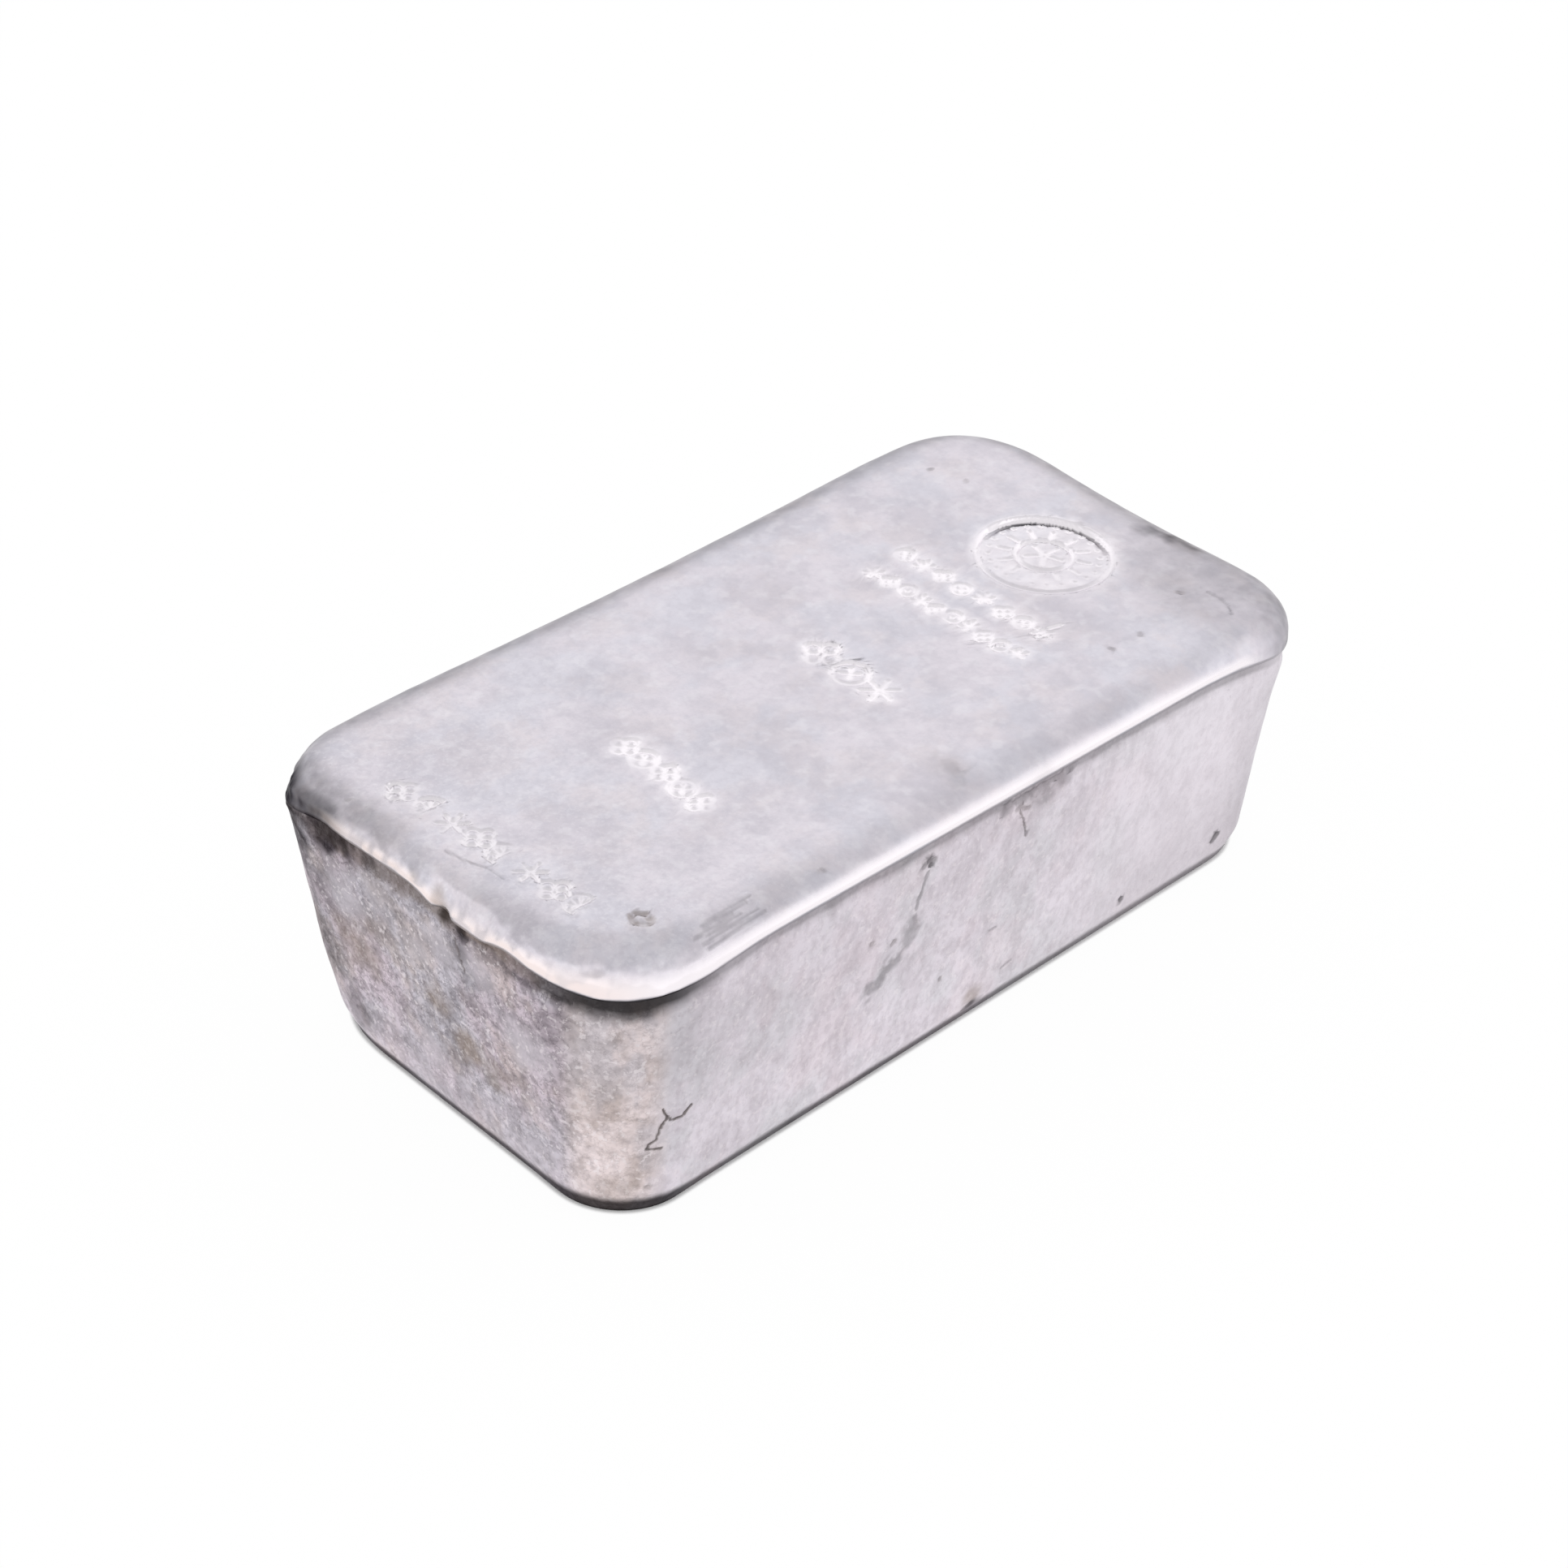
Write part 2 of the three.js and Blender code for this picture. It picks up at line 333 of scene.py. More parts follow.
def rays(count, inner, outer, turn=0.0):
    turns = (turn + i * math.tau / count for i in range(count))
    ways = [(math.cos(t), math.sin(t)) for t in turns]
    return [evenly([(x * inner, y * inner, 0), (x * outer, y * outer, 0)]) for x, y in ways]


# plain ornaments, each made of a few strokes round its middle
punchShapes = {
    "bullseye": lambda size: [polygon(20, size), [Vector((0, 0, 0))]],
    "star": lambda size: rays(6, size * 0.2, size, 0.3),
    "petals": lambda size: [polygon(9, size * 0.45, (p[0].x, p[0].y)) for p in pellets(4, size * 0.62)],
    "boss": lambda size: [polygon(18, size)] + rays(4, 0, size * 0.5, 0.7),
    "shell": lambda size: [polygon(18, size)[:60]] + rays(8, size * 0.15, size * 0.7)[:5],
}

# rows of them across the face: mark, ornaments, size, both ends of the row, how many, and a seed
punchRows = [
    ("handPunch", ("petals", "shell", "star"), 1.3, (-37.6, 8.9), (-37.2, -12.2), 8, 3),
    ("blow", ("petals", "boss"), 1.15, (-19.8, 1.9), (-20.3, -7.9), 5, 5),
    ("blow", ("petals", "boss", "star"), 1.65, (2.5, 0.9), (2.0, -6.2), 3, 8),
    ("blow", ("boss", "star", "petals"), 0.82, (19.1, 7.2), (19.2, -9.6), 8, 11),
    ("blow", ("star", "petals", "bullseye"), 0.76, (15.0, 7.0), (14.9, -10.3), 10, 13),
]


# each punch was set by hand: off its place by up to so many millimetres across and along the row,
# and leaning, so that one side went in deeper
punchHand = {"offPlace": (0.25, 0.18), "lean": (0.2, 0.6), "depth": 0.85, "depthRange": (0.2, 1.2)}


def punchRow(kind, shapes, size, start, end, count, seed):
    draw = random.Random(seed)
    least, most = punchHand["depthRange"]
    strokes = []
    for i in range(count):
        middle = Vector((*start, 0)).lerp(Vector((*end, 0)), i / max(count - 1, 1))
        middle += Vector((*(draw.uniform(-off, off) for off in punchHand["offPlace"]), 0))
        lean = draw.uniform(0, math.tau)
        lean = Vector((math.cos(lean), math.sin(lean), 0)) * draw.uniform(*punchHand["lean"]) / size
        for trail in punchShapes[shapes[i % len(shapes)]](size):
            depths = (min(max(punchHand["depth"] + point.dot(lean), least), most) for point in trail)
            strokes.append((kind, [(middle + point, depth) for point, depth in zip(trail, depths)]))
    return strokes


sealTool = {
    "middle": (28.7, -1.0, 0),
    "radius": 6.2,
    "innerRing": 0.42,         # the parts of the seal, as shares of its radius
    "pelletRing": 0.82,
    "outerRays": (0.52, 0.68),
    "innerRays": (0.06, 0.28),
    "lean": (0.80, 0.60),      # the tool leant over, so this side of it went in deepest
    "deepInset": 0.28,         # millimetres inside the ring, where the deep side's dark foot runs, a painted shadow in the step
    "deepFrom": -35,           # degrees at which it starts, the step between its points, how many
    "deepStep": 2.4,
    "deepPoints": 60,
    "press": 0.22,
    "burnish": 0.52,
}


def sealStrokes():
    middle, radius = Vector(sealTool["middle"]), sealTool["radius"]
    towards = Vector((*sealTool["lean"], 0))
    rings = polygon(56, radius), polygon(30, radius * sealTool["innerRing"])
    parts = [("sealRing", trail) for trail in rings]
    blows = pellets(24, radius * sealTool["pelletRing"])
    for name, count in (("outerRays", 12), ("innerRays", 5)):
        blows += rays(count, *(radius * share for share in sealTool[name]))
    parts += [("blow", trail) for trail in blows]
    strokes = []
    for kind, trail in parts:
        strokes.append((kind, [(middle + p, 0.72 + 0.38 * p.dot(towards) / radius) for p in trail]))
    foot = []
    for i in range(sealTool["deepPoints"]):
        angle = math.radians(sealTool["deepFrom"] + sealTool["deepStep"] * i)
        way = Vector((math.cos(angle), math.sin(angle), 0))
        point = middle + way * (radius - sealTool["deepInset"])
        foot.append((point, max(way.dot(towards), 0.0) ** 1.5))
    return strokes + [("sealFoot", foot)]


# the seal's tool flattened and burnished the metal under it, which is painted brighter: partly burnish,
# partly a painted highlight
def underSeal(place):
    offset = (place - Vector(sealTool["middle"])).xy
    disc = 1 - smoothStep(offset.length, sealTool["radius"] * 0.93, sealTool["radius"] * 1.02)
    lean = max(0.25 + 0.75 * offset.dot(Vector(sealTool["lean"])) / sealTool["radius"], 0.0)
    return disc, disc * lean


# single marks on the face and on the walls: mark, strength, and the corners of its stroke
faceMarkList = [
    ("dimple", 0.8, [(31.2, 15.8, 0), (31.4, 15.7, 0)]),
    ("dimple", 0.5, [(32.5, 12.3, 0), (32.4, 12.2, 0)]),
    ("dimple", 1.0, [(33.4, -12.9, 0), (33.5, -13.2, 0)]),
    ("dimple", 0.7, [(25.6, -15.2, 0), (25.3, -15.4, 0)]),
    ("dimple", 0.7, [(21.7, -15.1, 0), (21.8, -15.4, 0)]),
    ("dimple", 1.0, [(-41.6, 11.1, 0), (-41.5, 10.9, 0)]),
    ("brightGouge", 1.0, [(18.5, -8.9, 0), (21.3, -9.7, 0)]),
    ("scratch", 1.0, [(-40.4, 0.2, 0), (-40.0, -2.2, 0), (-39.4, -3.9, 0), (-39.4, -5.6, 0)]),
    ("smear", 0.35, [(-1.5, -17.3, 0), (-1.8, -18.8, 0), (-2.6, -20.0, 0)]),
    ("hairline", 1.0, [(35.5, -14.6, 0), (35.6, -15.8, 0), (35.2, -17.2, 0), (34.3, -18.4, 0)]),
    ("dimple", 0.8, [(-19.4, -20.9, 0)]),
]
wallMarkList = [
    ("crack", 1.0, [(-33.3, -21.3, 10.8), (-34.1, -21.2, 10.0), (-35.2, -21.0, 10.1),
                    (-35.7, -20.9, 10.9), (-35.9, -20.8, 11.5)]),
    ("crack", 1.0, [(-35.6, -20.9, 10.4), (-36.0, -20.7, 9.6), (-36.3, -20.5, 8.3),
                    (-36.8, -20.2, 7.9), (-37.0, -20.1, 7.4), (-35.8, -20.6, 7.2)]),
    ("pinhole", 0.6, [(-7.9, -22.1, 22.8)]),
    ("pinhole", 0.5, [(-7.3, -22.1, 22.7)]),
    ("pinhole", 0.7, [(-7.6, -22.1, 22.2)]),
    ("pinhole", 0.4, [(-8.4, -22.1, 22.6)]),
    ("hairline", 1.0, [(-7.8, -22.1, 21.8), (-8.4, -21.9, 19.6), (-8.7, -21.8, 18.1)]),
    ("smear", 0.9, [(-8.8, -21.8, 17.0), (-9.1, -21.7, 15.9), (-9.4, -21.6, 14.9)]),
    ("smear", 0.9, [(-8.5, -21.8, 16.0), (-9.2, -21.6, 14.7)]),
    ("smear", 1.0, [(-10.2, -21.5, 13.4), (-11.2, -21.5, 13.2), (-13.3, -21.4, 11.4)]),
    ("crack", 0.6, [(3.0, -22.0, 22.6), (3.7, -22.0, 21.4), (4.4, -21.9, 19.2)]),
    ("hairline", 1.0, [(3.7, -22.0, 21.4), (4.4, -21.9, 19.2)]),
    ("furrow", 0.6, [(0.6, -22.0, 24.1), (3.6, -22.0, 23.7), (7.1, -22.0, 23.9), (10.4, -22.0, 24.2)]),
    ("dimple", 1.0, [(2.6, -22.1, 23.0), (4.2, -22.1, 22.4)]),
    ("scratch", 1.0, [(1.7, -21.3, 9.9), (2.5, -21.3, 9.9)]),
    ("scratch", 1.0, [(4.1, -21.0, 4.2), (5.3, -20.9, 4.5)]),
    ("dimple", 1.0, [(-4.2, -21.1, 7.8), (-4.2, -21.1, 7.7)]),
    ("dimple", 1.0, [(-11.0, -21.7, 15.8), (-11.2, -21.7, 15.6)]),
    ("dimple", 1.0, [(-13.8, -21.7, 17.1), (-13.7, -21.7, 17.1)]),
    ("pinhole", 0.65, [(20.3, -20.9, 3.3), (20.3, -20.9, 3.4)]),
    ("pinhole", 0.65, [(33.0, -20.9, 3.6), (33.5, -20.9, 4.1)]),
    ("pinhole", 0.4, [(0.1, -20.8, 1.5), (0.9, -20.8, 2.0)]),
    ("furrow", 0.6, [(-43.0, -4.2, 23.2), (-43.1, -6.0, 23.4), (-43.1, -7.7, 23.8),
                     (-43.1, -10.9, 22.9), (-42.3, -14.2, 23.0), (-41.7, -15.7, 22.6)]),
    ("crack", 0.7, [(-43.0, -3.9, 22.4), (-42.9, -4.1, 21.1), (-42.7, -4.7, 19.4)]),
    ("smear", 0.6, [(-42.9, 3.0, 20.6), (-42.8, 3.7, 19.9)]),
    ("hairline", 0.6, [(-42.9, 5.1, 20.5), (-42.8, 3.9, 19.7)]),
    ("hairline", 0.6, [(-42.0, -13.6, 13.0), (-41.6, -14.0, 10.0), (-41.4, -14.5, 8.5),
                       (-40.8, -15.8, 6.6)]),
    ("hairline", 0.5, [(-38.1, -19.6, 10.9), (-37.0, -20.3, 10.8)]),
    ("dimple", 1.0, [(-36.8, -20.0, 3.1), (-36.5, -20.0, 3.1)]),
]

# a burst gas bubble and a patch of short parallel scratches, both near the front corner
bubbleRing = {"middle": (-34.8, -16.5), "radius": 0.72, "wander": 0.25, "seed": 11}
rubbedPatch = {
    "count": 6, "spacing": 0.33, "start": -33.2, "end": -28.8, "side": -19.9, "slant": 0.2, "seed": 17,
}


def plainStrokes(markList):
    return [
        (kind, [(point, strength) for point in evenly(corners)]) for kind, strength, corners in markList
    ]


def faceStrokes():
    strokes = [stroke for row in punchRows for stroke in punchRow(*row)]
    strokes += sealStrokes()
    noise.seed_set(bubbleRing["seed"])     # noise_vector would differ from run to run without it
    ring = polygon(16, bubbleRing["radius"], bubbleRing["middle"])
    bubble = []
    for point in ring:
        strength = 0.4 + abs(noise.noise(point * 1.7)) * 2.0
        bubble.append((point + noise.noise_vector(point) * bubbleRing["wander"], strength))
    strokes.append(("bubble", bubble))
    draw = random.Random(rubbedPatch["seed"])
    rubbed = []
    for i in range(rubbedPatch["count"]):
        side = rubbedPatch["side"] - i * rubbedPatch["spacing"] - draw.uniform(-0.06, 0.06)
        start = rubbedPatch["start"] + draw.uniform(0, 1.8)
        end = rubbedPatch["end"] + draw.uniform(0, 2.6)
        rubbed.append(("scratch", 1.0, [(start, side, 0), (end, side + rubbedPatch["slant"], 0)]))
    return strokes + plainStrokes(faceMarkList + rubbed)


# finds the point of any stroke that lies nearest to a place
def treeOf(strokes):
    points = [(point, kind, strength) for kind, trail in strokes for point, strength in trail]
    tree = kdtree.KDTree(len(points))
    for index, (point, kind, strength) in enumerate(points):
        tree.insert(point, index)
    tree.balance()
    return tree, [(kind, strength) for point, kind, strength in points]


def wave(place, name, shift=0):
    x, y, z, seed = barWaves[name]
    seed += shift
    return noise.noise(Vector((place.x / x + seed, place.y / y - seed, place.z / z + 2 * seed)))


def nearby(place, name):
    x, y, full, gone = barPlaces[name]
    return 1 - smoothStep((place.xy - Vector((x, y))).length, full, gone)


# the solid's triangles are merged, numbered by ring and joined into quads
def barCopy():
    bm = bmesh.new()
    bm.from_mesh(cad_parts["ingot"].data)
    bmesh.ops.remove_doubles(bm, verts=bm.verts, dist=barSkin["mergeDistance"])
    ring = bm.verts.layers.float.new("ring")
    reached = [min(bm.verts, key=lambda v: v.co.z * 100 + v.co.xy.length)]
    counted = set(reached)
    count = 0
    while reached:
        for v in reached:
            v[ring] = count
        reached = list({e.other_vert(v) for v in reached for e in v.link_edges} - counted)
        counted.update(reached)
        count += 1
    print("rings of the casting:", count)
    sharpest = math.radians(barSkin["joinBelow"])
    bmesh.ops.join_triangles(
        bm, faces=bm.faces, angle_face_threshold=sharpest, angle_shape_threshold=sharpest,
    )
    return bm


# the same mesh after a subdivision surface, which rounds its facets
def smoothed(bm, levels):
    rough = bpy.data.meshes.new("roughBar")
    bm.to_mesh(rough)
    bm.free()
    holder = bpy.data.objects.new("roughBar", rough)
    bpy.context.collection.objects.link(holder)
    modifier = holder.modifiers.new("smooth", "SUBSURF")
    modifier.levels = modifier.render_levels = levels
    shape = holder.evaluated_get(bpy.context.evaluated_depsgraph_get()).to_mesh()
    fine = bmesh.new()
    fine.from_mesh(shape)
    bpy.data.objects.remove(holder)
    bpy.data.meshes.remove(rough)
    return fine


def capBase(bm):
    ring = bm.verts.layers.float["ring"]
    inner = [face for face in bm.faces if max(v[ring] for v in face.verts) < barSkin["baseCap"]]
    bmesh.ops.dissolve_faces(bm, faces=inner, use_verts=True)


# halves edges between two rings: those across run from ring to ring, those along follow one
def splitRings(bm, low, high, way="both", reach=math.inf):
    ring = bm.verts.layers.float["ring"]
    chosen = []
    for edge in bm.edges:
        a, b = (v[ring] for v in edge.verts)
        runs = "across" if abs(a - b) > 0.01 else "along"
        middle = (edge.verts[0].co.x + edge.verts[1].co.x) / (2 * mm)
        if min(a, b) >= low and max(a, b) <= high and way in ("both", runs) and middle < reach:
            chosen.append(edge)
    bmesh.ops.subdivide_edges(bm, edges=chosen, cuts=1, use_grid_fill=True)


# halves the long edges near a mark, so that it shows; marks on the face lie flat, at no height
def splitNear(bm, tree, flat, low, high, reach, longest, times):
    ring = bm.verts.layers.float["ring"]
    for _ in range(times):
        chosen = []
        for edge in bm.edges:
            a, b = edge.verts
            if not low < (a[ring] + b[ring]) / 2 < high or edge.calc_length() < longest * mm:
                continue
            middle = (a.co + b.co) / (2 * mm)
            if flat:
                middle.z = 0
            if tree.find(middle)[2] < reach + edge.calc_length() / mm / 2:
                chosen.append(edge)
        bmesh.ops.subdivide_edges(bm, edges=chosen, cuts=1, use_grid_fill=True)


# a rounded cut with a raised edge, and how much a point lies inside it
def reliefOf(kind, distance):
    mark = markKinds[kind]
    share = distance / mark["width"]
    cut = 1 - smoothStep(share, 0.15, 1.1)
    edge = band(share, 0.85, 1.3, 1.4, 2.2)
    return edge * mark["ridge"] - cut * mark["depth"], 1 - smoothStep(share, 0.7, 1.6)


# how strongly the darkest stain of one kind shows here, its edge drawn ragged by noise
def stainAt(place, name, mottle):
    stain = 0.0
    seed = barStains[name]["seed"]
    for middle, reach, strength in barStains[name]["patches"]:
        share = (place - Vector(middle)).length / reach
        if share < 1.4:
            share += 0.3 * wave(place, "stainEdge", seed) + 0.2 * wave(place, "broadStainEdge", seed)
            stain = max(stain, strength * mottle * (1 - smoothStep(share, 0.15, 1.0)))
    return stain


# what the functions below ask about one point of the skin
def spotOf(v, at):
    place = v.co / mm
    side = Vector((v.normal.x, v.normal.y, 0))
    nearEnd = smoothStep(-place.x, *barSkin["nearEnd"])
    frontCorner = nearby(place, "frontCorner")
    return SimpleNamespace(
        place=place,
        at=at,
        normal=v.normal.copy(),
        side=side.normalized() if side.length > 0.05 else side,
        bands={name: band(at, *rings) for name, rings in barBands.items()},
        nearEnd=nearEnd,
        endOnly=nearEnd * (1 - frontCorner),
        rough=max(nearEnd, frontCorner),
        frontCorner=frontCorner,
        leftCorner=nearby(place, "leftCorner"),
        rightCorner=nearby(place, "rightCorner"),
        groove=11 + 0.06 * wave(place, "groove"),
        mottle=1 + 0.35 * wave(place, "fineMottle") + 0.35 * wave(place, "mottle"),
    )


# the mould's skin: slow swells, rounded grain and drag lines down the wall, and small knobs in
# which the rim froze at the near end
def skinMove(spot):
    place, rough = spot.place, spot.rough
    grain = wave(place, "grain") + 0.6 * wave(place, "fineGrain")
    along = spot.bands["wall"] * (
        barSkin["wallSwell"] * (wave(place, "swell") - 0.5)
        + barSkin["wallGrain"] * ((1 + 1.6 * rough) * grain + 0.8 * (1 - rough) * wave(place, "drag"))
    )
    along += smoothStep(spot.at, 18, 22) * (
        barSkin["faceSwell"] * (wave(place, "faceSwell") - 0.3)
        + barSkin["faceDents"] * wave(place, "faceDent")
    )
    knobs = wave(place, "knob") + 0.9 * wave(place, "fineKnob") - 0.5
    along += spot.bands["knobs"] * barSkin["rimKnobs"] * (0.2 + rough) * knobs
    return spot.normal * along


# under the lip the metal drew back from the mould unevenly; at the left corner the lip never parted
# from the wall, and at the far right one it hardly did
def lipMove(spot):
    place, side, bands = spot.place, spot.side, spot.bands
    groove = band(spot.at, spot.groove, spot.groove + 0.3, 12.5, 13.6)
    move = -side * groove * barSkin["grooveCut"] * (1 + 1.5 * wave(place, "grooveDepth"))
    chip = 1 - smoothStep((place - Vector(barSkin["chipMiddle"])).length, *barSkin["chipReach"])
    move -= (side + Vector((0, 0, -0.4))) * chip * barSkin["chipDepth"]
    left = barSkin["leftSwell"] * bands["leftSwell"] - barSkin["leftPinch"] * bands["leftPinch"]
    right = barSkin["rightSwell"] * bands["rightSwell"] - barSkin["rightPinch"] * bands["rightPinch"]
    shoulder = barSkin["shoulderCut"] * nearby(place, "shoulder") * bands["shoulder"]
    move += side * (spot.leftCorner * left + spot.rightCorner * right - shoulder)
    move.z += barSkin["cornerLift"] * nearby(place, "lift") * bands["lift"]
    move.z -= barSkin["endLipSag"] * spot.nearEnd * band(place.y, -11, -7, -3, 1.5) * bands["sag"]
    ragged = wave(place, "lipEdge") + 0.7 * wave(place, "fineLipEdge")
    move.z += barSkin["lipRagged"] * ragged * bands["lipEdge"] * spot.rough * (1 - spot.leftCorner)
    return move


# the base goes back down onto the floor, the foot of the wall draws in a little above it, and a
# corner of the base is knocked in
def footMove(spot, lifted):
    place = spot.place
    inset = barSkin["footInset"] * (1 - 0.22 * spot.frontCorner)
    move = -spot.side * inset * (1 - smoothStep(place.z, 0.2, 2.8))
    move.z -= lifted * (1 - smoothStep(place.z, lifted, 3.0))
    dent = nearby(place, "baseDent") * (1 - smoothStep(place.z, 1.0, 9.0))
    return move + Vector(barSkin["dentWay"]) * barSkin["baseCornerDent"] * dent


# the wall is darkened under the lip, most at the front and left corners: in the groove partly tarnish
# but mostly painted shade of the overhanging lip, at the front corner a painted shadow; the far end of
# the wall is just made darker
def wallTarnishAndShade(spot):
    place, at, endOnly, mottle = spot.place, spot.at, spot.endOnly, spot.mottle
    belowLine = 1 - smoothStep(at, 14.7, 15.1)
    low = spot.groove + 0.15 - 0.09 * spot.frontCorner
    low += endOnly * (0.3 * wave(place, "underLip") - 0.14 - 0.22 * smoothStep(place.y, -4, 2))
    under = smoothStep(at, low, low + 0.28) * belowLine
    under *= (1 - 0.6 * spot.leftCorner) * (1 - 0.6 * spot.rightCorner)
    groove = barSkin["grooveTarnishAndShade"] - (0.20 - 0.12 * mottle) * endOnly
    groove += barSkin["frontCornerShadow"] * spot.frontCorner
    upper = smoothStep(place.z, 8, 20) * (1 - smoothStep(at, 11, 12))
    belowLip = band(place.z + 0.6 * wave(place, "belowLip"), 21.6, 23.2, 25.3, 26.0)
    belowLip *= (1 - smoothStep(at, 14.9, 15.3)) * (1 - 0.7 * band(place.y, 3, 6, 8, 11))
    # painted shade of the lip: the groove (partly tarnish), the front corner's crescent, the corner
    # wall, the band below the near end's lip and the patches kept below it; the dark stains are partly
    # real smudges
    dark = max(
        under * groove,
        barSkin["crescentShadow"] * spot.frontCorner * spot.bands["crescent"],
        barSkin["cornerWallShade"] * spot.frontCorner * upper * mottle,
        barSkin["farWallDarkening"] * smoothStep(place.x, 30, 37) * spot.bands["wall"] * mottle,
        barSkin["underLipShade"] * belowLip * endOnly * mottle,
        min(stainAt(place, "lipShade", mottle) * belowLine, barSkin["deepestLipShade"]),
        min(stainAt(place, "dark", mottle), barSkin["deepestStain"]),
    )
    return dark, under


# the rim is darkened on its far sides and corners and at the left corner, mostly as painted shade for
# the darker room that these turned surfaces reflect, with some tarnish at the left corner; inside the
# near end's roll it is painted shade, and by the far corner the face is just made darker
def rimTarnishAndShade(spot):
    place, at, mottle = spot.place, spot.at, spot.mottle
    farSide = max(smoothStep(place.y, 16, 20), smoothStep(place.x, 37.5, 41))
    rolled = smoothStep(at, 12, 14.5) * (1 - smoothStep(at, 19.3, 24.2))
    left = nearby(place, "darkCorner") * smoothStep(at, 12, 14) * (1 - smoothStep(at, 17.2, 21.4))
    inner = smoothStep(place.y, 2, 9) + 0.35 * band(place.y, -13, -10, -7, -3)
    return max(
        barSkin["farRimShade"] * farSide * rolled * mottle,
        barSkin["farCornerShade"] * nearby(place, "farCorner") * rolled * mottle,
        barSkin["farFaceDarkening"] * nearby(place, "farFace") * smoothStep(at, 18, 20) * mottle,
        barSkin["leftCornerTarnishAndShade"] * left * (0.75 + 0.25 * mottle),
        barSkin["innerRimShade"] * inner * spot.bands["innerRim"] * spot.endOnly * mottle,
    )


# painted shadow: a black line along the foot of the wall stands in for the contact shadow under the
# rounded base edge
def footShadow(spot):
    place, frontCorner = spot.place, spot.frontCorner
    height = place.z + 0.12 * wave(place, "footLine") - 0.4 * frontCorner
    line = smoothStep(spot.at, 0.9, 1.6) * (1 - smoothStep(height, 0.85, 1.95))
    line *= barSkin["baseShadow"] + 0.20 * frontCorner ** 2 - 0.16 * smoothStep(place.x, -12, 25)
    return line


# how far the nearest mark moves the metal here, and how dark, brown and bright it leaves it; the
# brightness is partly burnish and partly a painted highlight
def markAt(spot, faceMarks, wallMarks):
    onFace = spot.at > barSkin["markRing"]
    place = spot.place
    tree, kinds = faceMarks if onFace else wallMarks
    _, index, distance = tree.find(Vector((place.x, place.y, 0)) if onFace else place)
    if distance >= barSkin["markReach"]:
        return 0.0, 0.0, 0.0, 0.0
    kind, strength = kinds[index]
    mark, shown = markKinds[kind], min(strength, 1.0)
    distance *= 1 + mark["ragged"] * wave(place, "markEdge")
    relief, inside = reliefOf(kind, distance)
    inside *= shown * (0.7 + 0.45 * min(spot.mottle, 1.3))
    spread = mark["halo"] * shown * (1 - smoothStep(distance, 0.3, 1.15))
    bright = max(inside * mark["struck"], spread * (0.7 + 0.3 * spot.mottle))
    return relief * strength, inside * mark["dark"], inside * mark["brown"], bright


# the rim's outer turn is painted bright all along, partly wear from handling and partly a painted
# highlight, but less so at the two dark corners; between the knobs of the near end it is painted
# darker, as shade between their highlights
def wearAndHighlightAt(spot):
    place = spot.place
    narrow = max(spot.endOnly, smoothStep(place.x, 18, 32))
    wornHighlight = band(spot.at, 14.8, 15.3, 15.9 - 0.3 * narrow, 18.4 - 0.9 * narrow)
    wornHighlight *= (1 - nearby(place, "noWornHighlightLeft")) * (1 - nearby(place, "noWornHighlightRight"))
    between = sum(wave(place, name) for name in ("fineWear", "wear", "longWear"))
    between = smoothStep(between, -0.1, 0.6) * spot.nearEnd * (1 - 0.5 * spot.frontCorner)
    return wornHighlight * (1 - 0.6 * between), barSkin["knobShade"] * between * spot.bands["knobShading"]


def sculptBar(bm, faceMarks, wallMarks):
    ring = bm.verts.layers.float["ring"]
    patinaAndPaintedLight = bm.verts.layers.float_color.new("patinaAndPaintedLight")    # tarnish and painted shade, brown, cool, struck bright and painted highlight
    zones = bm.verts.layers.float_color.new("zones")      # wall, end wall, worn rim and its painted highlight, pale corner
    bm.normal_update()
    lifted = min(v.co.z for v in bm.verts) / mm           # how far the smoothing drew the base up
    moves = []
    for v in bm.verts:
        spot = spotOf(v, v[ring])
        place = spot.place
        dark, under = wallTarnishAndShade(spot)
        relief, markDark, markBrown, struck = markAt(spot, faceMarks, wallMarks)
        wornHighlight, knobDark = wearAndHighlightAt(spot)
        disc, press = underSeal(place) if spot.at > barSkin["sealRing"] else (0.0, 0.0)
        dark = max(dark, rimTarnishAndShade(spot), footShadow(spot), markDark, knobDark)
        brown = barSkin["grooveBrown"] * under * spot.endOnly
        brown = max(brown, stainAt(place, "brown", spot.mottle), markBrown)
        struck = max(struck, sealTool["burnish"] * disc * (0.8 + 0.7 * wave(place, "burnish")))
        v[patinaAndPaintedLight] = (min(dark, 1.0), min(brown, 1.0), stainAt(place, "cool", 1.0), min(struck, 1.0))
        pale = nearby(place, "paleCorner") * (1 - smoothStep(spot.at, 11.5, 14.0))
        endWall = spot.nearEnd * (1 - 0.45 * (1 - smoothStep(place.z, 2, 9))) * (1 - pale)
        v[zones] = (1 - smoothStep(spot.at, 11.5, 15.0), endWall, wornHighlight, pale)
        move = skinMove(spot) + lipMove(spot) + footMove(spot, lifted) + spot.normal * relief
        moves.append((move - Vector((0, 0, sealTool["press"] * press))) * mm)
    for v, move in zip(bm.verts, moves):
        v.co += move
        v.co.z = max(v.co.z, 0.0)


